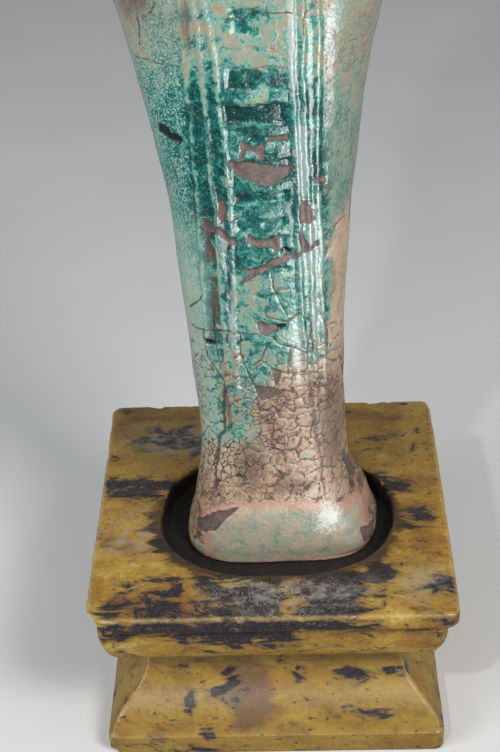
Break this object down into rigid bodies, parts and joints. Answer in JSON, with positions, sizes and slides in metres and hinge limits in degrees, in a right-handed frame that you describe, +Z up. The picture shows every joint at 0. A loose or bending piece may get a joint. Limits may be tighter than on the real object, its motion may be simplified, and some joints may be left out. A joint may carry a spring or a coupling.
{
  "type": "ushabti figurine",
  "caption": "Mummy-shaped glazed funerary figurine with crossed arms, a long wig and a column of shallow marks, standing in the socket of a small square moulded marble plinth.",
  "frame": {"origin": "centre of the plinth's square underside", "axes": "+Z up along the standing figure, which looks along -Y; +X is on the viewer's right from the front"},
  "size_m": [0.066, 0.066, 0.216],
  "materials": {
    "glaze": "worn pale green and tan glaze with a network of fine dark cracks",
    "marble": "polished ochre marble with drawn-out dark blue-grey patches"
  },
  "bodies": {
    "root": {"ushabti": "glaze", "marble_plinth": "marble"}
  },
  "joints": []
}
